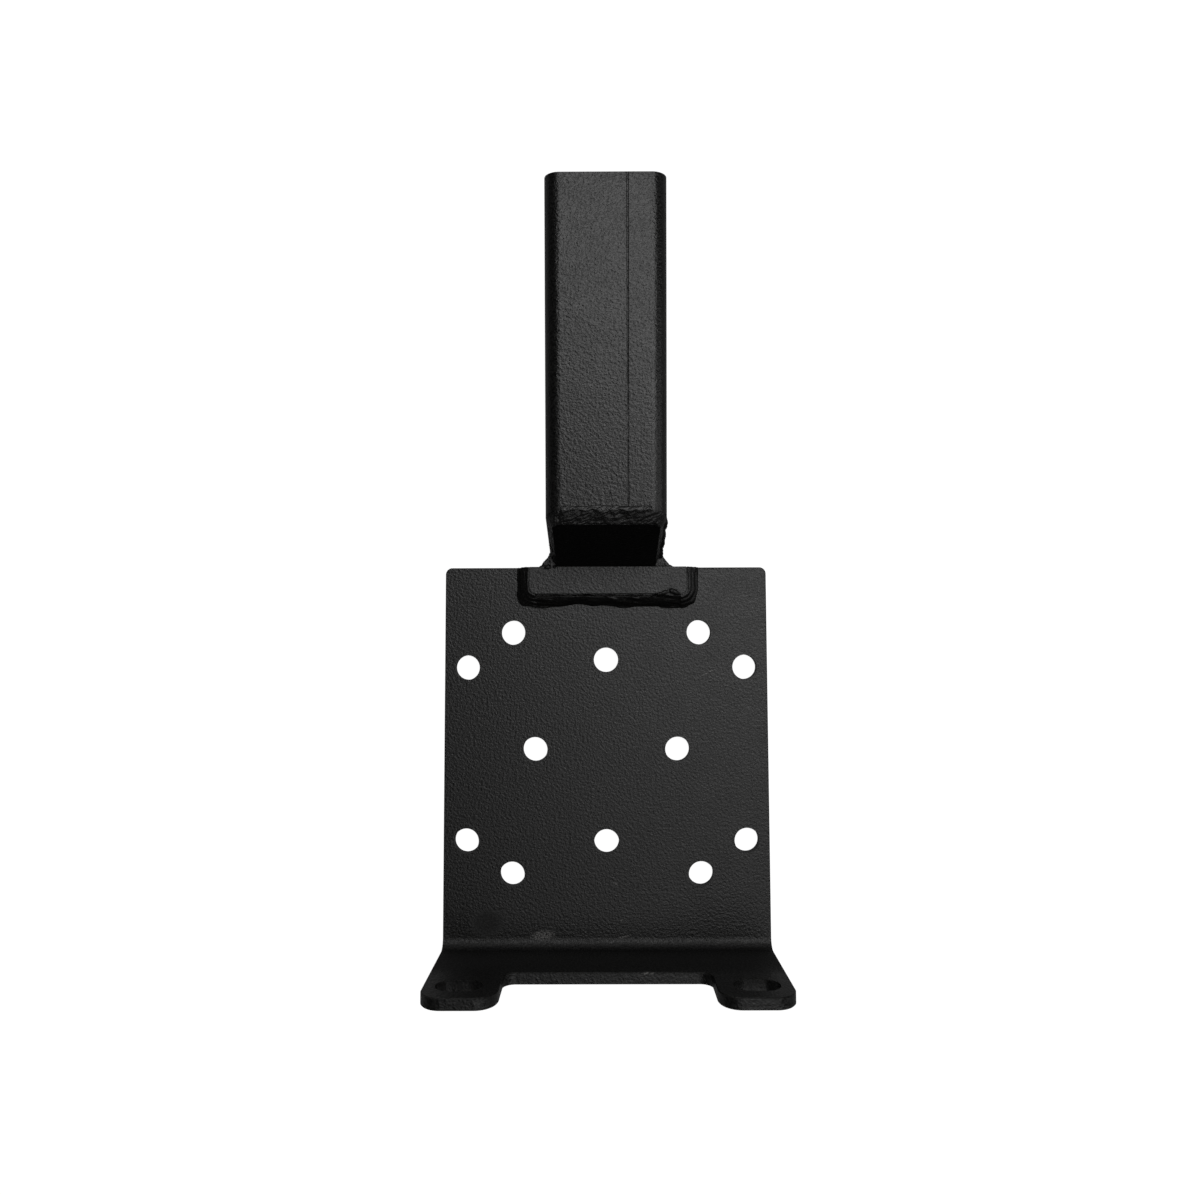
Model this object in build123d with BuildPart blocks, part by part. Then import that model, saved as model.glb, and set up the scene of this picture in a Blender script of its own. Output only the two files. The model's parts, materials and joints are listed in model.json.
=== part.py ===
from build123d import *
from math import cos, radians, sin, tan
import os

# Winch hitch mount: a folded steel winch plate with a slotted fairlead flange,
# welded to a square hitch shank that slides into a receiver.
# Millimetres. X runs across the plate, Y along the shank, Z up from the winch face.
# The origin is the centre of the inner winch bolt pattern, on the plate's winch face.

# Winch plate, folded from one sheet
SHEET = 5.0
PLATE_WIDTH = 150.0
PLATE_TOP = 85.7
PLATE_CORNER_RADIUS = 3.0
FLANGE_DROP = 88.4
FLANGE_HEIGHT = 57.4
BEND_RADIUS = 4.5
EDGE_BREAK = 0.4

# Fairlead flange: two slotted lugs beside a rope notch
LUG_WIDTH = 31.25
NOTCH_FLOOR = 30.6
NOTCH_RADIUS = 5.0
LUG_RADIUS = 9.0
SLOT_EDGE = 14.65
SLOT_RISE = 44.5
SLOT_LENGTH = 19.3
SLOT_WIDTH = 11.7

# Winch bolt holes: two rectangles, one pair across and one pair along the plate
BOLT_HOLE = 11.4
INNER_BOLTS_X = 86.75
INNER_BOLTS_Y = 110.8
WIDE_BOLTS_EDGE = 10.5
WIDE_BOLTS_Y = 79.5
WIDE_BOLTS_SHIFT = -0.6
CROSS_PAIR_X = 65.9
CROSS_PAIR_SHIFT = 1.3
LONG_PAIR_Y = 83.4
LONG_PAIR_SHIFT = 0.9

# Hitch shank: 2 inch square tube measured over its coat, its back corner level with the plate's back
SHANK_SIZE = 51.2
SHANK_WALL = 4.8
SHANK_RADIUS = 6.5
SHANK_BORE_RADIUS = 1.8
SHANK_LENGTH = 162.8
SHANK_RISE_ANGLE = 4.8
PIN_HOLE = 16.3
PIN_SETBACK = 60.0

# Closing plate over the shank's leaning lower end
CAP_THICKNESS = 4.8
CAP_LEAN_ANGLE = 18.2
CAP_SIDE_LEDGE = 2.9
CAP_TOP_LEDGE = 3.6
CAP_CORNER_RADIUS = 4.5

# Tie pad lapped on the winch face at the plate's top edge
PAD_THICKNESS = 5.0
PAD_WIDTH = 72.7
PAD_DEPTH = 12.4
PAD_SHIFT = 1.0
PAD_CORNER_RADIUS = 2.8

# Weld beads
PAD_BEAD_LEG = 6.0
BEAD_CROWN = 0.6
SIDE_BEAD_REACH = 5.4
SIDE_BEAD_RISE = 10.8
SIDE_BEAD_SAG = 1.3
CAP_BEAD_LAP = 2.2
CAP_BEAD_PROUD = 0.9
BACK_GROOVE = 2.0

# Worked out from the sizes above
half_width = PLATE_WIDTH / 2
half_shank = SHANK_SIZE / 2
shank_bore = SHANK_SIZE - 2 * SHANK_WALL
back_z = -SHEET
flange_inner = -FLANGE_DROP
flange_outer = -FLANGE_DROP - SHEET
slot_x = half_width - SLOT_EDGE
wide_bolts_x = PLATE_WIDTH - 2 * WIDE_BOLTS_EDGE
notch_width = PLATE_WIDTH - 2 * LUG_WIDTH
back_bead_half = half_shank - SHANK_RADIUS
rise = radians(SHANK_RISE_ANGLE)
lean = radians(CAP_LEAN_ANGLE)
cap_half_width = half_shank - CAP_SIDE_LEDGE


def shank_point(along, up):
    """Y and Z of a point at a distance along the shank and up from its back face."""
    return (
        PLATE_TOP + along * cos(rise) - up * sin(rise),
        back_z + along * sin(rise) + up * cos(rise),
    )


def cap_point(up, behind):
    """Y and Z of a point up the closing plate's outer face and behind it."""
    return (
        PLATE_TOP + up * sin(lean) + behind * cos(lean),
        PAD_THICKNESS + up * cos(lean) - behind * sin(lean),
    )


def shank_front_height(behind):
    """Distance up the leaning plane that lies behind the cap's face to the shank's front face."""
    front_gap = SHANK_SIZE + (back_z - PAD_THICKNESS) * cos(rise) + behind * sin(lean + rise)
    return front_gap / cos(lean + rise)


def outline_edges(plate):
    """The outline edges of the plate's and flange's skins, without the holes."""
    skins = [
        plate.faces().filter_by(Plane.XY).group_by(Axis.Z)[0][0],
        plate.faces().filter_by(Plane.XY).sort_by(SortBy.AREA)[-1],
        plate.faces().filter_by(Plane.XZ).group_by(Axis.Y)[0][0],
        plate.faces().filter_by(Plane.XZ).sort_by(SortBy.AREA)[-1],
    ]
    edges = ShapeList()
    for skin in skins:
        edges += skin.outer_wire().edges()
    return edges


# The shank's section stands on the plate's top back edge, its normal along the tube
shank_plane = Plane(
    origin=(0, PLATE_TOP, back_z),
    x_dir=(1, 0, 0),
    z_dir=(0, cos(rise), sin(rise)),
)
pin_plane = Plane(origin=(0, *shank_point(SHANK_LENGTH - PIN_SETBACK, half_shank)), z_dir=(1, 0, 0))
# The closing plate's outer face starts at the pad's top edge
cap_plane = Plane(
    origin=(0, PLATE_TOP, PAD_THICKNESS),
    x_dir=(1, 0, 0),
    z_dir=(0, -cos(lean), sin(lean)),
)
# Where the back of the closing plate meets the level of the winch face
cap_back_foot = (PLATE_TOP + CAP_THICKNESS / cos(lean) - PAD_THICKNESS * tan(lean), 0)
cap_back_far = cap_point(2 * SHANK_SIZE, CAP_THICKNESS)
cap_sketch_foot = -PAD_THICKNESS / cos(lean) - CAP_THICKNESS * tan(lean)
cap_height = shank_front_height(CAP_THICKNESS) - CAP_TOP_LEDGE
cap_lap_depth = CAP_THICKNESS + CAP_BEAD_LAP
bead_depth = cap_height + 2 * SHANK_SIZE
pad_left = PAD_SHIFT - PAD_WIDTH / 2
pad_right = PAD_SHIFT + PAD_WIDTH / 2
pad_foot = PLATE_TOP - PAD_DEPTH
side_bead_middle = (SIDE_BEAD_REACH / 2 - SIDE_BEAD_SAG, SIDE_BEAD_RISE / 2 - SIDE_BEAD_SAG)
bead_crown_point = (PAD_BEAD_LEG / 2 + BEAD_CROWN, PAD_THICKNESS / 2 + BEAD_CROWN)

# Winch plate: an L-shaped fold pulled across the plate's width
with BuildPart() as winch_plate:
    with BuildSketch(Plane.YZ) as fold_profile:
        with BuildLine():
            Polyline(
                (PLATE_TOP, 0),
                (PLATE_TOP, back_z),
                (flange_outer, back_z),
                (flange_outer, FLANGE_HEIGHT),
                (flange_inner, FLANGE_HEIGHT),
                (flange_inner, 0),
                close=True,
            )
        make_face()
        fillet(fold_profile.vertices().sort_by_distance((flange_inner, 0))[0], BEND_RADIUS)
        fillet(fold_profile.vertices().sort_by_distance((flange_outer, back_z))[0], BEND_RADIUS + SHEET)
    extrude(amount=half_width, both=True)

    # Rope notch between the two lugs, open at the flange's front edge
    with BuildSketch(Plane.XZ.offset(-flange_inner)):
        with Locations((0, NOTCH_FLOOR)):
            Rectangle(notch_width, 2 * FLANGE_HEIGHT, align=(Align.CENTER, Align.MIN))
    extrude(amount=SHEET, mode=Mode.SUBTRACT)
    flange_corners = winch_plate.edges().filter_by(Axis.Y).filter_by_position(
        Axis.Z, NOTCH_FLOOR - BEND_RADIUS, FLANGE_HEIGHT
    )
    fillet(flange_corners.group_by(Axis.Z)[0], NOTCH_RADIUS)
    fillet(winch_plate.edges().filter_by(Axis.Y).group_by(Axis.Z)[-1], LUG_RADIUS)
    top_corners = winch_plate.edges().filter_by(Axis.Z).group_by(Axis.Y)[-1]
    fillet(top_corners, PLATE_CORNER_RADIUS)

    # Groove for the weld under the shank's root, in the plate's top back edge
    with BuildSketch(Plane.YZ):
        with BuildLine():
            Polyline(
                (PLATE_TOP, back_z),
                (PLATE_TOP - BACK_GROOVE, back_z),
                (PLATE_TOP, back_z + BACK_GROOVE),
                close=True,
            )
        make_face()
    extrude(amount=back_bead_half, both=True, mode=Mode.SUBTRACT)

    # Winch bolt holes
    with GridLocations(INNER_BOLTS_X, INNER_BOLTS_Y, 2, 2):
        Hole(BOLT_HOLE / 2, depth=SHEET)
    with Locations((0, WIDE_BOLTS_SHIFT)):
        with GridLocations(wide_bolts_x, WIDE_BOLTS_Y, 2, 2):
            Hole(BOLT_HOLE / 2, depth=SHEET)
    with Locations((0, CROSS_PAIR_SHIFT)):
        with GridLocations(CROSS_PAIR_X, 0, 2, 1):
            Hole(BOLT_HOLE / 2, depth=SHEET)
    with Locations((0, LONG_PAIR_SHIFT)):
        with GridLocations(0, LONG_PAIR_Y, 1, 2):
            Hole(BOLT_HOLE / 2, depth=SHEET)

    # Fairlead slots, one in each lug
    with BuildSketch(Plane.XZ.offset(-flange_inner)):
        with Locations((-slot_x, SLOT_RISE), (slot_x, SLOT_RISE)):
            SlotOverall(SLOT_LENGTH, SLOT_WIDTH)
    extrude(amount=SHEET, mode=Mode.SUBTRACT)

    # Sharp edges of the blank's outline broken
    chamfer(outline_edges(winch_plate), EDGE_BREAK)
winch_plate.part.label = "winch_plate"

# Outer form of the shank, trimmed at its root: square against the plate's top edge,
# then leaning back to seat the closing plate
with BuildPart() as shank_form:
    with BuildSketch(shank_plane.offset(-SHANK_WALL)):
        with Locations((0, -half_shank)):
            RectangleRounded(SHANK_SIZE, SHANK_SIZE, SHANK_RADIUS)
    extrude(amount=SHANK_LENGTH + SHANK_WALL)
    with BuildSketch(Plane.YZ):
        with BuildLine():
            Polyline(
                (PLATE_TOP, -SHANK_SIZE),
                (PLATE_TOP, 0),
                cap_back_foot,
                cap_back_far,
                (-PLATE_TOP, cap_back_far[1]),
                (-PLATE_TOP, -SHANK_SIZE),
                close=True,
            )
        make_face()
    extrude(amount=SHANK_SIZE, both=True, mode=Mode.SUBTRACT)

# Hitch shank: the form bored out, with a cross hole for the hitch pin
with BuildPart() as shank_tube:
    add(shank_form.part)
    with BuildSketch(shank_plane.offset(-SHANK_WALL)):
        with Locations((0, -half_shank)):
            RectangleRounded(shank_bore, shank_bore, SHANK_BORE_RADIUS)
    extrude(amount=SHANK_LENGTH + SHANK_WALL, mode=Mode.SUBTRACT)
    with BuildSketch(pin_plane):
        Circle(PIN_HOLE / 2)
    extrude(amount=SHANK_SIZE, both=True, mode=Mode.SUBTRACT)

    # Groove for the weld under the root, facing the one in the plate
    with BuildSketch(Plane.YZ):
        with BuildLine():
            Polyline(
                (PLATE_TOP, back_z - BACK_GROOVE),
                (PLATE_TOP, back_z + BACK_GROOVE),
                (PLATE_TOP + 2 * BACK_GROOVE, back_z - BACK_GROOVE),
                close=True,
            )
        make_face()
    extrude(amount=back_bead_half, both=True, mode=Mode.SUBTRACT)
shank_tube.part.label = "shank_tube"

# Closing plate: seated on the shank's leaning end and on its back wall
with BuildPart() as closing_plate:
    with BuildSketch(cap_plane):
        with BuildLine():
            Polyline(
                (-cap_half_width, cap_sketch_foot),
                (cap_half_width, cap_sketch_foot),
                (cap_half_width, cap_height),
                (-cap_half_width, cap_height),
                close=True,
            )
        make_face()
    extrude(amount=-CAP_THICKNESS)
    fillet(
        closing_plate.edges().filter_by(lambda edge: edge.length < CAP_THICKNESS * 1.01).group_by(Axis.Z)[-1],
        CAP_CORNER_RADIUS,
    )
    with BuildSketch(Plane.YZ):
        with BuildLine():
            Polyline(
                (PLATE_TOP, PAD_THICKNESS),
                (PLATE_TOP, 0),
                (PLATE_TOP + SHANK_SIZE, 0),
                (PLATE_TOP + SHANK_SIZE, -SHANK_SIZE),
                (PLATE_TOP - SHANK_SIZE, -SHANK_SIZE),
                (PLATE_TOP - SHANK_SIZE, PAD_THICKNESS),
                close=True,
            )
        make_face()
    extrude(amount=SHANK_SIZE, both=True, mode=Mode.SUBTRACT)
closing_plate.part.label = "closing_plate"

# Tie pad: a short strip lapped on the winch face
with BuildPart() as tie_pad:
    with BuildSketch(Plane.XY):
        with Locations((PAD_SHIFT, PLATE_TOP)):
            Rectangle(PAD_WIDTH, PAD_DEPTH, align=(Align.CENTER, Align.MAX))
    extrude(amount=PAD_THICKNESS)
    fillet(tie_pad.edges().filter_by(Axis.Z).group_by(Axis.Y)[0], PAD_CORNER_RADIUS)
tie_pad.part.label = "tie_pad"

# Fillet weld round the pad's three free edges
with BuildPart() as pad_weld:
    with BuildLine() as pad_edge:
        FilletPolyline(
            (pad_left, PLATE_TOP),
            (pad_left, pad_foot),
            (pad_right, pad_foot),
            (pad_right, PLATE_TOP),
            radius=PAD_CORNER_RADIUS,
        )
    with BuildSketch(Plane(origin=(pad_left, PLATE_TOP, 0), x_dir=(-1, 0, 0), z_dir=(0, 1, 0))):
        with BuildLine():
            Line((0, 0), (PAD_BEAD_LEG, 0))
            ThreePointArc((PAD_BEAD_LEG, 0), bead_crown_point, (0, PAD_THICKNESS))
            Line((0, PAD_THICKNESS), (0, 0))
        make_face()
    sweep(path=pad_edge.wires()[0])
pad_weld.part.label = "pad_weld"

# Weld round the closing plate: a fillet on the ledge of the shank's end,
# crowned and lapped over the shank's front edge
with BuildPart() as cap_weld:
    with BuildSketch(cap_plane):
        with Locations((0, cap_height)):
            RectangleRounded(2 * cap_half_width, bead_depth, CAP_CORNER_RADIUS, align=(Align.CENTER, Align.MAX))
    with BuildSketch(cap_plane.offset(-CAP_THICKNESS)):
        with Locations((0, shank_front_height(CAP_THICKNESS))):
            RectangleRounded(SHANK_SIZE, bead_depth, SHANK_RADIUS, align=(Align.CENTER, Align.MAX))
    loft()
    with BuildSketch(Plane.YZ):
        with BuildLine():
            Polyline(
                cap_point(cap_height, 0),
                cap_point(cap_height, CAP_THICKNESS),
                cap_point(shank_front_height(cap_lap_depth) - CAP_BEAD_LAP, cap_lap_depth),
                cap_point(shank_front_height(cap_lap_depth), cap_lap_depth),
                cap_point(shank_front_height(CAP_THICKNESS) + CAP_BEAD_PROUD, CAP_THICKNESS),
                close=True,
            )
        make_face()
    extrude(amount=back_bead_half, both=True)
    add(closing_plate.part, mode=Mode.SUBTRACT)
    add(shank_form.part, mode=Mode.SUBTRACT)
    with BuildSketch(Plane.YZ):
        with BuildLine():
            Polyline(
                (PLATE_TOP - SHANK_SIZE, -2 * SHANK_SIZE),
                (PLATE_TOP - SHANK_SIZE, PAD_THICKNESS),
                (PLATE_TOP + SHANK_SIZE, PAD_THICKNESS),
                (PLATE_TOP + SHANK_SIZE, -2 * SHANK_SIZE),
                close=True,
            )
        make_face()
    extrude(amount=SHANK_SIZE, both=True, mode=Mode.SUBTRACT)
cap_weld.part.label = "cap_weld"

# Fillet welds between the shank's sides and the plate's top edge
with BuildPart() as side_weld_left:
    with BuildSketch(Plane.XY.offset(back_z)):
        with BuildLine():
            Polyline(
                (-half_shank, PLATE_TOP + SIDE_BEAD_RISE),
                (-back_bead_half, PLATE_TOP + SIDE_BEAD_RISE),
                (-back_bead_half, PLATE_TOP),
                (-half_shank - SIDE_BEAD_REACH, PLATE_TOP),
            )
            ThreePointArc(
                (-half_shank - SIDE_BEAD_REACH, PLATE_TOP),
                (-half_shank - side_bead_middle[0], PLATE_TOP + side_bead_middle[1]),
                (-half_shank, PLATE_TOP + SIDE_BEAD_RISE),
            )
        make_face()
    extrude(amount=SHEET + PAD_THICKNESS)
    add(shank_form.part, mode=Mode.SUBTRACT)
    add(closing_plate.part, mode=Mode.SUBTRACT)
    add(cap_weld.part, mode=Mode.SUBTRACT)
side_weld_left.part.label = "side_weld_left"

with BuildPart() as side_weld_right:
    mirror(side_weld_left.part, about=Plane.YZ)
side_weld_right.part.label = "side_weld_right"

# Flush weld in the groove under the shank's root
with BuildPart() as back_weld:
    with BuildSketch(Plane.YZ):
        with BuildLine():
            Polyline(
                (PLATE_TOP - BACK_GROOVE, back_z),
                (PLATE_TOP + BACK_GROOVE, back_z),
                (PLATE_TOP, back_z + BACK_GROOVE),
                close=True,
            )
        make_face()
    extrude(amount=back_bead_half, both=True)
    add(shank_tube.part, mode=Mode.SUBTRACT)
back_weld.part.label = "back_weld"

pieces = [
    winch_plate,
    shank_tube,
    closing_plate,
    tie_pad,
    pad_weld,
    cap_weld,
    side_weld_left,
    side_weld_right,
    back_weld,
]
os.makedirs("parts", exist_ok=True)
for piece in pieces:
    export_step(piece.part, f"parts/{piece.part.label}.step")
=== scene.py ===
import json
import math

import bpy
from bpy.props import FloatProperty, FloatVectorProperty, PointerProperty
from mathutils import Matrix, Vector

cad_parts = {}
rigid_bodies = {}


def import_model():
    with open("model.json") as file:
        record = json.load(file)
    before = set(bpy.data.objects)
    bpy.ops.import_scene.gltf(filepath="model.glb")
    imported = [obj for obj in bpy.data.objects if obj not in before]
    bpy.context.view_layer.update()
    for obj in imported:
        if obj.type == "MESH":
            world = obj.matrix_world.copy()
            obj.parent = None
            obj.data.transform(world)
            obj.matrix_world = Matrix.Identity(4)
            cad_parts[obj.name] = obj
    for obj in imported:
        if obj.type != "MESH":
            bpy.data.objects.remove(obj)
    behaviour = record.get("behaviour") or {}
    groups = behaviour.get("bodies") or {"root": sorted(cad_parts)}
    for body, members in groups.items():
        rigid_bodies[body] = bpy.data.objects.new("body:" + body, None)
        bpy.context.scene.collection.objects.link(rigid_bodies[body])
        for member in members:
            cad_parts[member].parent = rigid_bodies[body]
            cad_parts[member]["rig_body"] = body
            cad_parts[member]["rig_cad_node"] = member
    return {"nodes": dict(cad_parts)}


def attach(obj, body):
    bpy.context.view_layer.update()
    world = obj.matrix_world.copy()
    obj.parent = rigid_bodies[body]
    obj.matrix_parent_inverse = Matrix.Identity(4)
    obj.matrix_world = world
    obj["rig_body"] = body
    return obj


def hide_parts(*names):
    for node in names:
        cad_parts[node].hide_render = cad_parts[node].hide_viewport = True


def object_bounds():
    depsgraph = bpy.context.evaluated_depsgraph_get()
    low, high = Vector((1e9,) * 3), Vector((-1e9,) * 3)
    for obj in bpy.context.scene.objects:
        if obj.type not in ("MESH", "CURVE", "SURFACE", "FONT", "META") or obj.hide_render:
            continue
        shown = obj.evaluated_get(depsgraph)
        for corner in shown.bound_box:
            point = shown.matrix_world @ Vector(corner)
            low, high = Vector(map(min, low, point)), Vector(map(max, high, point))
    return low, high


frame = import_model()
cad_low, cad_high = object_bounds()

bl_info = {
    "name": "Winch hitch mount",
    "version": (1, 0, 0),
    "blender": (4, 5, 0),
    "location": "3D View > Sidebar > Winch Mount",
    "description": "Powder coat, weld beads and studio for a welded winch hitch mount",
    "category": "Object",
}

MM = 0.001

# Camera: its place, where it looks and its upward direction
CAMERA_PLACE = (-0.002969, 0.046035, 0.402926)
CAMERA_VIEW = Vector((-0.0022751, 0.0635709, -0.9979747))
CAMERA_UPWARD = Vector((0.0030136, 0.9979732, 0.0635639))

# Point that the lamps are turned to
LAMP_AIM = Vector((0.0, 0.08, 0.0))

FLOOR_WIDTH = 12.0

# Share of the pale floor that the object's gloss mirrors
MIRRORED_FLOOR = 0.06

# Heights of a direction between which the room fades from the horizon's brightness
HORIZON_FADE = (0.08, 0.3)

# Powder coat on the beads: width and height of its grains
BEAD_GRAIN = 0.6 * MM
BEAD_GRAIN_DEPTH = 0.1 * MM

# Widths of the coat's slow change of gloss, of a mark's flecks, of dust and of a groove's worn stretches
GLOSS_DRIFT = 14 * MM
MARK_FLECK = 0.7 * MM
DUST_WIDTH = 1.6 * MM
GROOVE_WEAR = 6 * MM

# Bare grey of a rubbed mark
RUBBED_COLOUR = (0.13, 0.126, 0.122, 1)


class SheetCoatSettings(bpy.types.PropertyGroup):
    colour: FloatVectorProperty(
        name="Colour",
        description="Colour of the powder coat on the flat sheet",
        subtype="COLOR",
        size=3,
        min=0.0,
        max=1.0,
        default=(0.0035, 0.0034, 0.0033),
    )
    roughness: FloatProperty(
        name="Roughness",
        description="How dull the powder coat on the sheet is",
        subtype="FACTOR",
        min=0.0,
        max=1.0,
        default=0.38,
    )
    grain: FloatProperty(
        name="Grain size",
        description="Width of the coat's fine grains",
        subtype="DISTANCE",
        unit="LENGTH",
        min=0.0001,
        max=0.01,
        default=0.0012,
    )
    grain_depth: FloatProperty(
        name="Grain depth",
        description="Height of the coat's fine grains",
        subtype="DISTANCE",
        unit="LENGTH",
        min=0.0,
        max=0.001,
        default=0.0002,
    )


class WeldSettings(bpy.types.PropertyGroup):
    voxel: FloatProperty(
        name="Mesh fineness",
        description="Width of the cells that a weld bead is remeshed with",
        subtype="DISTANCE",
        unit="LENGTH",
        min=0.0001,
        max=0.002,
        default=0.00032,
    )
    lump_depth: FloatProperty(
        name="Lump depth",
        description="Height of the beads' lumps",
        subtype="DISTANCE",
        unit="LENGTH",
        min=0.0,
        max=0.002,
        default=0.0005,
    )
    ripple_depth: FloatProperty(
        name="Ripple depth",
        description="Height of the beads' fine ripples",
        subtype="DISTANCE",
        unit="LENGTH",
        min=0.0,
        max=0.001,
        default=0.0002,
    )
    roughness: FloatProperty(
        name="Roughness",
        description="How dull the powder coat on the beads is",
        subtype="FACTOR",
        min=0.0,
        max=1.0,
        default=0.32,
    )


class StageSettings(bpy.types.PropertyGroup):
    focal_length: FloatProperty(
        name="Focal length",
        description="Focal length of the camera",
        subtype="DISTANCE_CAMERA",
        min=10.0,
        max=200.0,
        default=25.99,
    )
    floor_colour: FloatVectorProperty(
        name="Floor colour",
        description="Colour of the floor",
        subtype="COLOR",
        size=3,
        min=0.0,
        max=1.0,
        default=(0.2, 0.2, 0.2),
    )
    floor_glow: FloatProperty(
        name="Floor glow",
        description="How bright the floor shows to the camera besides its lit colour",
        min=0.0,
        max=1.0,
        default=0.97,
    )
    over_power: FloatProperty(
        name="Over softbox power",
        description="Power of the large softbox over the shank",
        subtype="POWER",
        unit="POWER",
        min=0.0,
        max=100.0,
        default=11.6,
    )
    front_power: FloatProperty(
        name="Front softbox power",
        description="Power of the softbox over the plate and flange",
        subtype="POWER",
        unit="POWER",
        min=0.0,
        max=100.0,
        default=3.8,
    )
    right_power: FloatProperty(
        name="Right softbox power",
        description="Power of the softbox on the right",
        subtype="POWER",
        unit="POWER",
        min=0.0,
        max=100.0,
        default=4.2,
    )
    side_power: FloatProperty(
        name="Side softbox power",
        description="Power of the low softbox beside the object",
        subtype="POWER",
        unit="POWER",
        min=0.0,
        max=100.0,
        default=2.6,
    )
    back_power: FloatProperty(
        name="Back softbox power",
        description="Power of the low softbox behind the object",
        subtype="POWER",
        unit="POWER",
        min=0.0,
        max=100.0,
        default=3.6,
    )
    surroundings: FloatProperty(
        name="Surroundings",
        description="Brightness of the room over the object",
        min=0.0,
        max=2.0,
        default=0.035,
    )
    horizon: FloatProperty(
        name="Horizon",
        description="Brightness of the room low around the object",
        min=0.0,
        max=2.0,
        default=0.06,
    )


class MountSettings(bpy.types.PropertyGroup):
    sheet: PointerProperty(type=SheetCoatSettings, name="Sheet coat", description="Coat on the sheet")
    weld: PointerProperty(type=WeldSettings, name="Welds", description="Weld beads")
    stage: PointerProperty(type=StageSettings, name="Stage", description="Floor, lamps and camera")


# Nodes and materials


def add_node(tree, kind, values=None, **settings):
    """A new node with its settings; a value that is a socket is linked."""
    node = tree.nodes.new(kind)
    for key, value in settings.items():
        setattr(node, key, value)
    for key, value in (values or {}).items():
        if isinstance(value, bpy.types.NodeSocket):
            tree.links.new(value, node.inputs[key])
        else:
            node.inputs[key].default_value = value
    return node


def empty_material(name):
    """A material with a principled shader, its output and the object's coordinates."""
    material = bpy.data.materials.new(name)
    material.use_nodes = True
    tree = material.node_tree
    tree.nodes.clear()
    shader = tree.nodes.new("ShaderNodeBsdfPrincipled")
    output = tree.nodes.new("ShaderNodeOutputMaterial")
    tree.links.new(shader.outputs[0], output.inputs[0])
    place = tree.nodes.new("ShaderNodeTexCoord").outputs["Object"]
    return material, tree, shader, place


def noise(tree, place, size, detail):
    """Noise with features of about a size in metres."""
    node = add_node(
        tree,
        "ShaderNodeTexNoise",
        {"Vector": place, "Scale": 1.0 / size, "Detail": detail, "Roughness": 0.55},
    )
    return node.outputs["Fac"]


def spread(tree, value, low, high, new_low, new_high):
    """A value spread from one range to another, clamped."""
    node = add_node(
        tree,
        "ShaderNodeMapRange",
        {"Value": value, "From Min": low, "From Max": high, "To Min": new_low, "To Max": new_high},
    )
    return node.outputs[0]


def maths(tree, operation, a, b):
    return add_node(tree, "ShaderNodeMath", {0: a, 1: b}, operation=operation).outputs[0]


def blend_colours(tree, factor, a, b):
    node = add_node(tree, "ShaderNodeMix", data_type="RGBA")
    for index, value in ((0, factor), (6, a), (7, b)):
        if isinstance(value, bpy.types.NodeSocket):
            tree.links.new(value, node.inputs[index])
        else:
            node.inputs[index].default_value = value
    return node.outputs[2]


def scuff(tree, place, middle, half_sizes, turn=0.0):
    """1 in the middle of a rubbed patch and 0 at its rim."""
    patch = add_node(
        tree,
        "ShaderNodeMapping",
        {
            "Vector": place,
            "Location": [v * MM for v in middle],
            "Rotation": (0, 0, math.radians(turn)),
            "Scale": [v * MM for v in half_sizes],
        },
        vector_type="TEXTURE",
    ).outputs[0]
    ball = add_node(tree, "ShaderNodeTexGradient", {"Vector": patch}, gradient_type="SPHERICAL")
    return ball.outputs["Fac"]


def scuffs(tree, place, patches):
    """The largest value that several rubbed patches have at a point."""
    top, *others = [scuff(tree, place, *patch) for patch in patches]
    for value in others:
        top = maths(tree, "MAXIMUM", top, value)
    return top


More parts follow.
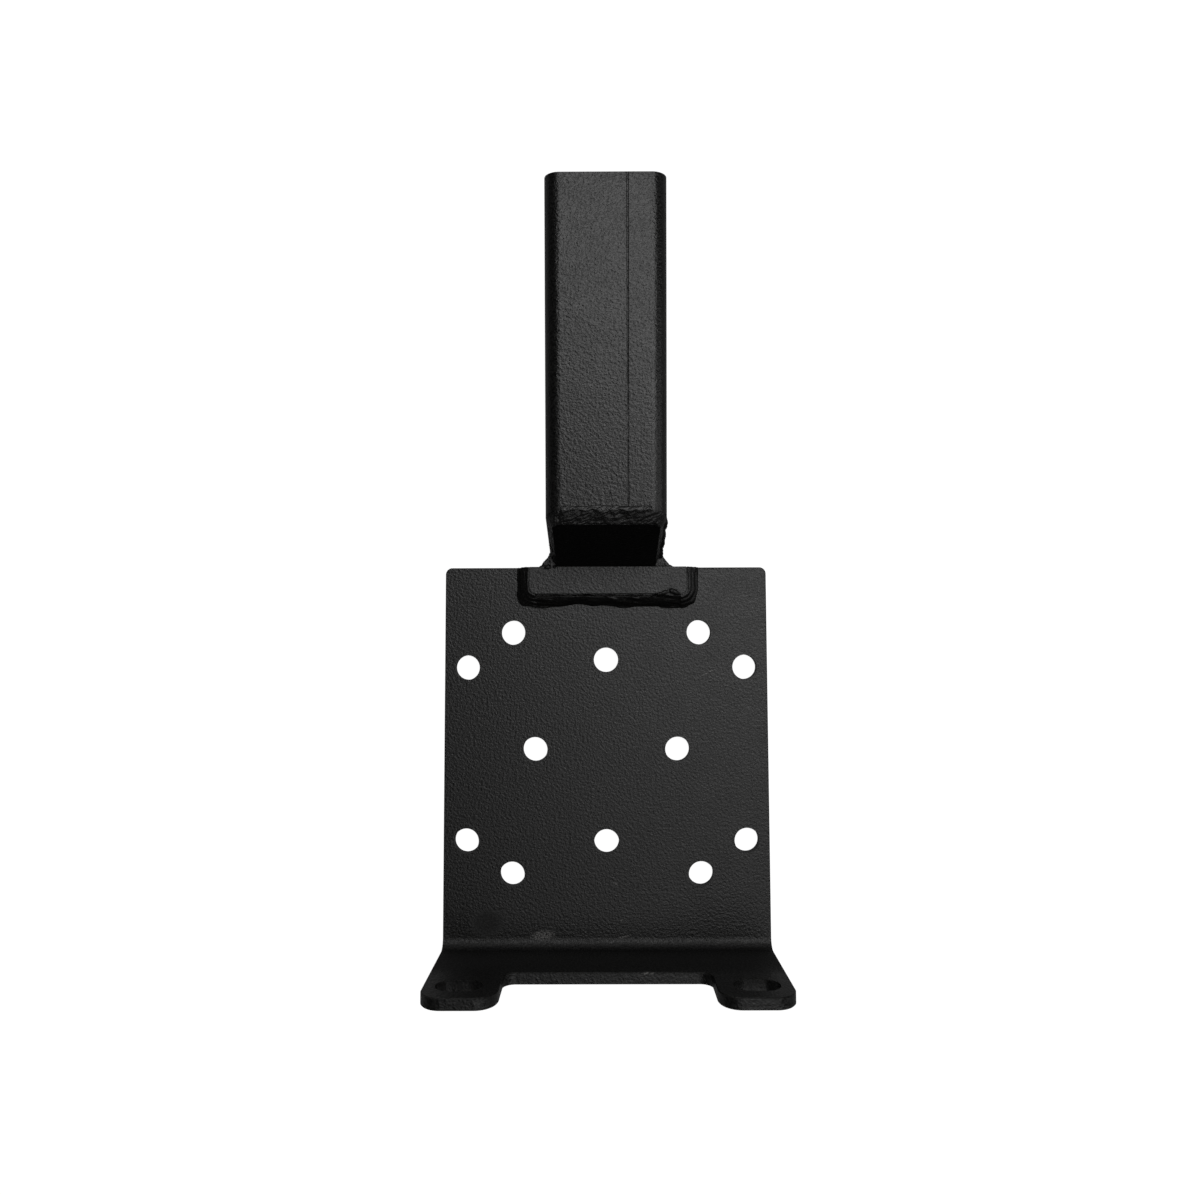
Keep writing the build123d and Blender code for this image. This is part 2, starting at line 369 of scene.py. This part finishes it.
def coat(name, colour, roughness, grain, grain_depth, marks=(), grooves=(), dull=(), specks=0.0, shine=0.5):
    """Satin black powder coat: pebbled grain with rubbed marks, fine grooves, duller patches and dust.

    Marks, grooves and dull patches are each a middle, half sizes in millimetres and a turn in degrees.
    """
    material, tree, shader, place = empty_material(name)
    pebble = noise(tree, place, grain, 1.0)
    pit = noise(tree, place, 0.6 * grain, 1.0)
    fleck = noise(tree, place, 0.8 * grain, 1.0)
    drift = noise(tree, place, GLOSS_DRIFT, 3.0)
    light = (*[v * 3.0 for v in colour], 1)
    dark = (*[v * 0.1 for v in colour], 1)
    tint = blend_colours(tree, spread(tree, fleck, 0.38, 0.68, 0, 1), dark, light)
    gloss = maths(tree, "ADD", spread(tree, drift, 0.3, 0.7, roughness - 0.03, roughness + 0.03),
                  spread(tree, pit, 0.35, 0.65, 0.08, -0.08))
    height = maths(tree, "ADD", maths(tree, "MULTIPLY", pebble, grain_depth / MM),
                   maths(tree, "MULTIPLY", pit, 0.5 * grain_depth / MM))
    if dull:
        flat = spread(tree, scuffs(tree, place, dull), 0.0, 0.5, 0.0, 0.4)
        gloss = maths(tree, "ADD", gloss, flat)
    if marks:
        rubbed = scuffs(tree, place, marks)
        broken = spread(tree, noise(tree, place, MARK_FLECK, 2.0), 0.42, 0.6, 0.0, 1.0)
        rubbed = maths(tree, "MULTIPLY", spread(tree, rubbed, 0.0, 0.5, 0.0, 1.0), broken)
        tint = blend_colours(tree, rubbed, tint, RUBBED_COLOUR)
    if specks:
        dust = spread(tree, noise(tree, place, DUST_WIDTH, 1.0), 0.70, 0.76, 0.0, 1.0)
        tint = blend_colours(tree, dust, tint, (specks, specks, specks, 1))
    if grooves:
        cuts = scuffs(tree, place, grooves)
        worn = spread(tree, noise(tree, place, GROOVE_WEAR, 3.0), 0.35, 0.6, 0.25, 1.0)
        cuts = maths(tree, "MULTIPLY", spread(tree, cuts, 0.0, 0.6, 0.0, 0.3), worn)
        height = maths(tree, "SUBTRACT", height, cuts)
    bump = add_node(tree, "ShaderNodeBump", {"Strength": 1.0, "Distance": MM, "Height": height})
    tree.links.new(tint, shader.inputs["Base Color"])
    tree.links.new(gloss, shader.inputs["Roughness"])
    tree.links.new(bump.outputs[0], shader.inputs["Normal"])
    shader.inputs["Specular IOR Level"].default_value = shine
    return material


def give_material(piece, material):
    piece.data.materials.clear()
    piece.data.materials.append(material)


# Mesh steps


def choose(*pieces):
    """Object mode with only these pieces selected, the first one active."""
    if bpy.context.mode != "OBJECT":
        bpy.ops.object.mode_set(mode="OBJECT")
    bpy.ops.object.select_all(action="DESELECT")
    for piece in pieces:
        piece.select_set(True)
    bpy.context.view_layer.objects.active = pieces[0]


def apply_modifier(piece, kind, **settings):
    """A modifier added with its settings and applied."""
    choose(piece)
    modifier = piece.modifiers.new(kind.title(), kind)
    for key, value in settings.items():
        setattr(modifier, key, value)
    bpy.ops.object.modifier_apply(modifier=modifier.name)


def bead_from_node(node, name):
    """A weld bead started from a merged copy of its solid."""
    piece = frame["nodes"][node].copy()
    piece.data = piece.data.copy()
    piece.name = name
    piece.data.name = name
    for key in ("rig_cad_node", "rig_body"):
        if key in piece:
            del piece[key]
    bpy.context.scene.collection.objects.link(piece)
    piece.parent = None
    choose(piece)
    bpy.ops.object.mode_set(mode="EDIT")
    bpy.ops.mesh.select_all(action="SELECT")
    bpy.ops.mesh.remove_doubles(threshold=0.00001)
    bpy.ops.mesh.normals_make_consistent(inside=False)
    bpy.ops.object.mode_set(mode="OBJECT")
    return piece


def lap_model():
    """One lap of weld metal, a millimetre in each half size: a ball with its ends drawn sideways."""
    bpy.ops.object.select_all(action="DESELECT")
    bpy.ops.mesh.primitive_uv_sphere_add(segments=20, ring_count=12, radius=MM, location=(0, 0, 0))
    piece = bpy.context.active_object
    for side in (-1, 1):
        pull(piece, (side, 0, 0), (0.25 * side, 0.4 * side, -0.15), 1.1)
    return piece


def laps(places):
    """Copies of one lap, each with its own mesh: place, half sizes, turn about Z and lift about X."""
    model = lap_model()
    copies = []
    for spot, half_sizes, turn, *lift in places:
        piece = model.copy()
        piece.data = model.data.copy()
        bpy.context.scene.collection.objects.link(piece)
        piece.data.transform(
            Matrix.Translation(Vector(spot) * MM)
            @ Matrix.Rotation(math.radians(sum(lift)), 4, "X")
            @ Matrix.Rotation(math.radians(turn), 4, "Z")
            @ Matrix.Diagonal((*half_sizes, 1))
        )
        copies.append(piece)
    choose(model)
    bpy.ops.object.delete()
    return copies


def strand(middle, radius, thickness, side, leg):
    """A round strand of weld metal that turns a corner and runs up a leg, in millimetres."""
    bpy.ops.object.select_all(action="DESELECT")
    bpy.ops.mesh.primitive_torus_add(
        location=[v * MM for v in middle],
        major_radius=radius * MM,
        minor_radius=thickness * MM,
        major_segments=48,
        minor_segments=12,
    )
    piece = bpy.context.active_object
    bpy.ops.object.mode_set(mode="EDIT")
    centre = [v * MM for v in middle]
    for gone in ((0, 1, 0), (-side, 0, 0)):
        bpy.ops.mesh.select_all(action="SELECT")
        bpy.ops.mesh.bisect(plane_co=centre, plane_no=gone, use_fill=True, clear_outer=True)
    pick_faces(piece, lambda face: face.normal.y > 0.99)
    bpy.ops.mesh.extrude_region_move(TRANSFORM_OT_translate={"value": (0, leg * MM, 0)})
    bpy.ops.object.mode_set(mode="OBJECT")
    return piece


def weld_up(piece, parts, voxel, rounds=2):
    """Parts joined to a bead, remeshed to one skin and softened."""
    choose(piece, *parts)
    if parts:
        bpy.ops.object.join()
    apply_modifier(piece, "REMESH", mode="VOXEL", voxel_size=voxel, use_smooth_shade=True)
    apply_modifier(piece, "SMOOTH", factor=0.5, iterations=rounds)


def pick_faces(piece, test):
    """Edit mode with only the faces selected that pass a test."""
    choose(piece)
    bpy.ops.object.mode_set(mode="EDIT")
    bpy.ops.mesh.select_mode(type="FACE")
    bpy.ops.mesh.select_all(action="DESELECT")
    bpy.ops.object.mode_set(mode="OBJECT")
    for face in piece.data.polygons:
        face.select = test(face)
    bpy.ops.object.mode_set(mode="EDIT")


def weigh(piece, name, low, high, fade=3.0):
    """A vertex group with the skin inside a box in millimetres, fading out over a width."""
    group = piece.vertex_groups.new(name=name)
    for vertex in piece.data.vertices:
        spot = vertex.co / MM
        outside = max(max(low[i] - spot[i], spot[i] - high[i], 0.0) for i in range(3))
        if outside < fade:
            group.add([vertex.index], 1.0 - outside / fade, "REPLACE")
    return name


def ripple(piece, name, size, depth, stretch=(1, 1, 1), turn=0.0, direction="NORMAL", group=""):
    """Lumps of about a size in millimetres pressed into a bead, stretched and turned about Z if asked."""
    choose(piece)
    bpy.ops.object.empty_add(location=(0, 0, 0), rotation=(0, 0, math.radians(turn)))
    guide = bpy.context.active_object
    guide.scale = stretch
    texture = bpy.data.textures.new(name, "CLOUDS")
    texture.noise_scale = size * MM
    texture.noise_depth = 2
    apply_modifier(
        piece,
        "DISPLACE",
        texture=texture,
        texture_coords="OBJECT",
        texture_coords_object=guide,
        strength=depth * MM,
        mid_level=0.5,
        direction=direction,
        vertex_group=group,
    )
    choose(guide)
    bpy.ops.object.delete()


def pull(piece, place, move, reach):
    """The skin near a place in millimetres is pulled by a move, fading out over a reach."""
    choose(piece)
    target = Vector(place) * MM
    nearest = min(piece.data.vertices, key=lambda v: (v.co - target).length_squared).index
    bpy.ops.object.mode_set(mode="EDIT")
    bpy.ops.mesh.select_mode(type="VERT")
    bpy.ops.mesh.select_all(action="DESELECT")
    bpy.ops.object.mode_set(mode="OBJECT")
    piece.data.vertices[nearest].select = True
    bpy.ops.object.mode_set(mode="EDIT")
    bpy.ops.transform.translate(
        value=[v * MM for v in move],
        use_proportional_edit=True,
        proportional_edit_falloff="SMOOTH",
        proportional_size=reach * MM,
    )
    bpy.ops.object.mode_set(mode="OBJECT")


def weld_material(context, name, shine, grooves=()):
    """The coat of a bead."""
    look = context.scene.winch_mount
    return coat(name, look.sheet.colour, look.weld.roughness, BEAD_GRAIN, BEAD_GRAIN_DEPTH,
                grooves=grooves, shine=shine)


def finish_bead(piece, node, material):
    choose(piece)
    bpy.ops.object.shade_smooth()
    give_material(piece, material)
    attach(piece, "root")
    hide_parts(node)


class MOUNT_OT_sheet_finish(bpy.types.Operator):
    """Coats the folded winch plate and its tie pad"""

    bl_idname = "mount.sheet_finish"
    bl_label = "Sheet finish"

    def execute(self, context):
        look = context.scene.winch_mount.sheet
        # Middle, half sizes and turn of each rubbed mark
        marks = [
            ((46.7, 36.2, 0), (6.8, 0.35, 20), 27.5),
            ((-29.2, -82.8, 0), (6.5, 2.6, 20), 5),
            ((7.8, -83.6, 0), (3.0, 0.6, 20), 10),
            ((4.2, -59.9, 0), (1.6, 0.5, 20), -35),
            ((6.9, -76.0, 0), (1.6, 0.4, 20), 40),
            ((16.4, -88.6, 30.6), (4.0, 1.0, 1.5), 0),
            ((-2.2, 75.7, 5), (4.0, 0.25, 2), -33),
        ]
        # The fold's inside and a smudge are duller
        dull = [
            ((0, -86.0, 16), (400, 5.0, 20), 0),
            ((-54.8, -77.0, 0), (9.0, 7.0, 20), 0),
        ]
        material = coat("sheet_coat", look.colour, look.roughness, look.grain, look.grain_depth,
                        marks=marks, dull=dull)
        for node in ("winch_plate", "tie_pad"):
            give_material(frame["nodes"][node], material)
        return {"FINISHED"}


class MOUNT_OT_shank_finish(bpy.types.Operator):
    """Coats the square shank and draws its seam"""

    bl_idname = "mount.shank_finish"
    bl_label = "Shank finish"

    def execute(self, context):
        look = context.scene.winch_mount.sheet
        # Middle, half sizes and turn of the tube's seam and of two scratches near its root
        grooves = [
            ((9.1, 180.0, 60.0), (0.5, 400, 17), 0),
            ((2.0, 110.4, 48.5), (0.4, 3.2, 5), 20),
            ((9.2, 110.0, 48.4), (0.4, 3.0, 5), -5),
        ]
        material = coat("shank_coat", look.colour, 0.8 * look.roughness, look.grain, 0.9 * look.grain_depth,
                        grooves=grooves)
        give_material(frame["nodes"]["shank_tube"], material)
        return {"FINISHED"}


class MOUNT_OT_cap_finish(bpy.types.Operator):
    """Coats the closing plate in the sheet's coat darkened to a third: painted shade on its face that looks
    down
    """

    bl_idname = "mount.cap_finish"
    bl_label = "Closing plate finish"

    def execute(self, context):
        look = context.scene.winch_mount.sheet
        # The sheet's colour darkened to a third, with less shine: painted shade on the closing plate, which
        # faces down away from the lamps. The light specks on it are dust.
        colour = [v * 0.3 for v in look.colour]
        material = coat("cap_coat_painted_shade", colour, look.roughness, look.grain, look.grain_depth,
                        specks=0.02, shine=0.3)
        give_material(frame["nodes"]["closing_plate"], material)
        return {"FINISHED"}


class MOUNT_OT_pad_bead(bpy.types.Operator):
    """Models the ropy weld round the tie pad"""

    bl_idname = "mount.pad_bead"
    bl_label = "Pad bead"

    def execute(self, context):
        look = context.scene.winch_mount.weld
        piece = bead_from_node("pad_weld", "pad_bead")
        # Strands round the two lower corners: radius, thickness and height above the plate
        parts = [strand((-32.5, 76.1, h), r, t, -1, 9.5) for r, t, h in
                 ((3.6, 0.9, 4.2), (5.1, 0.9, 3.3), (6.6, 0.9, 2.1), (8.1, 0.8, 0.7))]
        parts += [strand((34.5, 76.1, h), r, t, 1, 9.5) for r, t, h in
                  ((4.2, 1.0, 4.0), (5.7, 1.3, 2.7), (7.3, 1.3, 1.1))]
        # Laps along the bottom: place, half sizes and turn
        places = [((-30 + 6.1 * i, 70.1, 1.7), (5.5, 1.2, 1.0), -14) for i in range(11)]
        places += [
            ((-30.0, 71.9, 3.4), (3.0, 0.9, 1.0), -5),
            ((-22.0, 72.9, 4.3), (5.0, 1.2, 0.9), -3),
            ((-8.0, 72.7, 4.2), (3.6, 1.0, 0.9), 4),
            ((19.0, 73.0, 4.3), (4.0, 1.0, 0.9), 8),
            ((-13.4, 71.7, 3.4), (3.2, 1.1, 1.1), -6),
            ((1.0, 71.9, 3.5), (4.6, 1.2, 1.2), -20),
            ((3.0, 73.4, 4.5), (2.4, 0.9, 0.8), 0),
            ((12.6, 71.8, 3.6), (3.6, 1.2, 1.2), -16),
            ((26.0, 73.4, 4.4), (4.6, 1.0, 1.1), 14),
            ((31.3, 74.1, 4.4), (3.2, 1.3, 1.3), -24),
            ((29.5, 72.8, 3.6), (5.0, 1.5, 1.4), 0),
            ((25.3, 68.9, 0.7), (8.5, 0.8, 0.8), 2),
            ((24.5, 71.0, 2.5), (6.5, 0.8, 0.8), -3),
            ((8.0, 68.0, 0.1), (5.0, 1.0, 0.7), -4),
            ((16.0, 69.9, 1.4), (4.0, 0.9, 0.9), -16),
            ((-29.5, 67.6, 0.0), (4.0, 1.0, 0.7), 0),
            ((10.0, 67.6, -0.1), (4.5, 1.0, 0.7), 4),
            ((31.0, 67.3, -0.1), (5.0, 0.9, 0.7), 0),
            ((37.2, 68.0, 0.0), (2.2, 1.1, 0.9), 25),
        ]
        weld_up(piece, parts + laps(places), look.voxel, 1)
        # A narrow groove along the pad's edge
        edge = weigh(piece, "edge", (-32, 72.5, 3.5), (23, 73.4, 6), 0.7)
        depth = -1.3 * MM
        apply_modifier(piece, "DISPLACE", strength=depth, mid_level=0.0, direction="Z", vertex_group=edge)
        for spot, move, reach in (
            ((-12.5, 67.3, 0.3), (0, 1.0, 0), 9),
            ((-2.0, 67.3, 0.3), (0, 0.5, 0), 5),
            ((-41.3, 72.1, 0.3), (-0.9, 0, 0), 3.5),
            ((-38.7, 69.9, 0.3), (-1.1, -1.4, 0), 4.5),
            ((40.7, 69.9, 0.3), (0.5, -1.1, 0), 3.5),
            ((40.5, 85.0, 2.5), (1.2, 0, -0.6), 3.5),
        ):
            pull(piece, spot, move, reach)
        bottom = weigh(piece, "bottom", (-33, 60, -5), (35, 75, 10))
        sides = weigh(piece, "sides", (-50, 75, -5), (50, 90, 10))
        ripple(piece, "bottom_strands", 1.6, 0.7, stretch=(7, 1, 1), turn=-10, group=bottom)
        ripple(piece, "side_strands", 1.0, 0.5, stretch=(1, 7, 1), turn=4, group=sides)
        ripple(piece, "fine", 0.6, 0.6 * look.ripple_depth / MM)
        finish_bead(piece, "pad_weld", weld_material(context, "pad_bead_coat", 0.3))
        return {"FINISHED"}


class MOUNT_OT_cap_bead(bpy.types.Operator):
    """Models the weld round the closing plate"""

    bl_idname = "mount.cap_bead"
    bl_label = "Closing plate bead"

    def execute(self, context):
        look = context.scene.winch_mount.weld
        piece = bead_from_node("cap_weld", "cap_bead")
        places = [
            ((-19.2, 104.6, 46.7), (3.0, 1.7, 1.0), 25),
            ((-20.4, 102.0, 45.6), (2.0, 2.2, 1.2), 0),
            ((19.0, 104.6, 46.9), (2.5, 1.8, 0.9), -20),
        ]
        # Metal run down both edges of the closing plate
        for i in range(4):
            places.append(((24.7, 91.6 + 3.0 * i, 9.5 + 8.5 * i), (7.0, 1.6, 1.4), 90 + 3 * (-1) ** i, 70))
            places.append(((-24.3, 91.4 + 3.0 * i, 9.0 + 8.5 * i), (5.5, 1.0, 1.2), 90 - 4 * (-1) ** i, 70))
        weld_up(piece, laps(places), look.voxel, 1)
        ripple(piece, "toe_wander", 4.0, 1.6, direction="Y")
        ripple(piece, "strands", 0.75, 0.55, stretch=(6, 1, 1), turn=26)
        ripple(piece, "fine", 0.45, look.ripple_depth / MM)
        grooves = [
            ((15.4, 102.7, 48), (0.35, 3.6, 6), 0),
            ((13.1, 103.7, 48), (2.6, 0.4, 6), 38),
            ((8.5, 101.3, 48), (3.0, 0.35, 6), 20),
        ]
        finish_bead(piece, "cap_weld", weld_material(context, "cap_bead_coat", 0.5, grooves))
        return {"FINISHED"}


class MOUNT_OT_root_beads(bpy.types.Operator):
    """Models the welds at the shank's sides and back"""

    bl_idname = "mount.root_beads"
    bl_label = "Root beads"

    def execute(self, context):
        look = context.scene.winch_mount.weld
        material = weld_material(context, "root_bead_coat", 0.4)
        extras = {
            "left": [
                ((-26.9, 85.5, 4.6), (2.3, 1.2, 1.0), 8),
                ((-23.7, 85.5, 4.7), (0.9, 0.9, 0.9), 0),
                ((-28.5, 87.0, 4.0), (2.5, 0.9, 1.0), 55),
            ],
            "right": [
                ((26.0, 87.6, 4.0), (1.6, 2.2, 1.2), 10),
                ((29.0, 86.0, 3.8), (2.0, 0.9, 1.2), -15),
            ],
        }
        for side, places in extras.items():
            piece = bead_from_node("side_weld_" + side, "side_bead_" + side)
            weld_up(piece, laps(places), look.voxel, 1)
            ripple(piece, side + "_lumps", 2.0, 1.4 * look.lump_depth / MM)
            ripple(piece, side + "_fine", 0.7, look.ripple_depth / MM)
            finish_bead(piece, "side_weld_" + side, material)
        piece = bead_from_node("back_weld", "back_bead")
        weld_up(piece, [], look.voxel, 1)
        finish_bead(piece, "back_weld", material)
        return {"FINISHED"}


class MOUNT_OT_stage(bpy.types.Operator):
    """Sets up the floor, the lamps, the surroundings and the camera"""

    bl_idname = "mount.stage"
    bl_label = "Stage"

    def execute(self, context):
        look = context.scene.winch_mount.stage
        bpy.ops.object.select_all(action="DESELECT")
        bpy.ops.mesh.primitive_plane_add(size=FLOOR_WIDTH, location=(0, 0, cad_low.z))
        floor = bpy.context.active_object
        floor.name = "floor"
        material, tree, shader, _ = empty_material("floor_paint")
        shader.inputs["Base Color"].default_value = (*look.floor_colour, 1)
        shader.inputs["Roughness"].default_value = 0.9
        shader.inputs["Specular IOR Level"].default_value = 0.2
        rays = tree.nodes.new("ShaderNodeLightPath")
        mirrored = maths(tree, "MULTIPLY", rays.outputs["Is Glossy Ray"], MIRRORED_FLOOR)
        seen = maths(tree, "MAXIMUM", rays.outputs["Is Camera Ray"],
                     maths(tree, "MAXIMUM", mirrored, rays.outputs["Is Transmission Ray"]))
        tree.links.new(maths(tree, "MULTIPLY", seen, look.floor_glow), shader.inputs["Emission Strength"])
        shader.inputs["Emission Color"].default_value = (1, 1, 1, 1)
        give_material(floor, material)

        world = bpy.data.worlds.new("surroundings")
        world.use_nodes = True
        tree = world.node_tree
        rays = tree.nodes.new("ShaderNodeLightPath")
        direction = tree.nodes.new("ShaderNodeTexCoord").outputs["Generated"]
        up = add_node(tree, "ShaderNodeSeparateXYZ", {0: direction})
        room = spread(tree, up.outputs["Z"], *HORIZON_FADE, look.horizon, look.surroundings)
        seen = maths(tree, "MAXIMUM", rays.outputs["Is Camera Ray"], rays.outputs["Is Transmission Ray"])
        background = tree.nodes["Background"]
        background.inputs["Color"].default_value = (1, 1, 1, 1)
        tree.links.new(maths(tree, "MAXIMUM", seen, room), background.inputs["Strength"])
        context.scene.world = world

        # Lamps: name, place, width, height and power
        for name, spot, width, height, power in (
            ("softbox_over", (0.25, 0.8, 2.0), 1.5, 0.95, look.over_power),
            ("softbox_front", (0.37, -0.42, 2.0), 1.25, 1.4, look.front_power),
            ("softbox_right", (1.1, 0.0, 1.95), 1.0, 1.8, look.right_power),
            ("softbox_side", (1.9, 0.1, 0.85), 1.2, 0.9, look.side_power),
            ("softbox_back", (-0.2, 2.2, 1.2), 3.0, 1.2, look.back_power),
        ):
            light = bpy.data.lights.new(name, "AREA")
            light.shape = "RECTANGLE"
            light.size = width
            light.size_y = height
            light.energy = power
            lamp = bpy.data.objects.new(name, light)
            lamp.location = spot
            lamp.rotation_euler = (LAMP_AIM - Vector(spot)).to_track_quat("-Z", "Y").to_euler()
            context.scene.collection.objects.link(lamp)

        across = CAMERA_VIEW.cross(CAMERA_UPWARD).normalized()
        upward = across.cross(CAMERA_VIEW).normalized()
        camera = bpy.data.objects.new("camera", bpy.data.cameras.new("camera"))
        camera.data.lens = look.focal_length
        camera.data.sensor_width = 36.0
        camera.data.clip_start = 0.01
        turn = Matrix((across, upward, -CAMERA_VIEW)).transposed().to_4x4()
        camera.matrix_world = Matrix.Translation(CAMERA_PLACE) @ turn
        context.scene.collection.objects.link(camera)
        context.scene.camera = camera
        context.scene.view_settings.view_transform = "Standard"
        return {"FINISHED"}


class MOUNT_PT_sidebar(bpy.types.Panel):
    """Lists the steps that dress the winch mount"""

    bl_label = "Winch Mount"
    bl_idname = "MOUNT_PT_sidebar"
    bl_space_type = "VIEW_3D"
    bl_region_type = "UI"
    bl_category = "Winch Mount"

    def draw(self, context):
        settings = context.scene.winch_mount
        for group in (settings.sheet, settings.weld, settings.stage):
            box = self.layout.box()
            for name in group.__annotations__:
                box.prop(group, name)
        for step in STEPS:
            self.layout.operator(step.bl_idname)


STEPS = (
    MOUNT_OT_sheet_finish,
    MOUNT_OT_shank_finish,
    MOUNT_OT_cap_finish,
    MOUNT_OT_pad_bead,
    MOUNT_OT_cap_bead,
    MOUNT_OT_root_beads,
    MOUNT_OT_stage,
)
CLASSES = (SheetCoatSettings, WeldSettings, StageSettings, MountSettings, *STEPS, MOUNT_PT_sidebar)


def register():
    for cls in CLASSES:
        bpy.utils.register_class(cls)
    bpy.types.Scene.winch_mount = PointerProperty(type=MountSettings)


def unregister():
    del bpy.types.Scene.winch_mount
    for cls in reversed(CLASSES):
        bpy.utils.unregister_class(cls)


def main():
    register()
    bpy.ops.mount.sheet_finish()
    bpy.ops.mount.shank_finish()
    bpy.ops.mount.cap_finish()
    bpy.ops.mount.pad_bead()
    bpy.ops.mount.cap_bead()
    bpy.ops.mount.root_beads()
    bpy.ops.mount.stage()


if __name__ == "__main__":
    main()
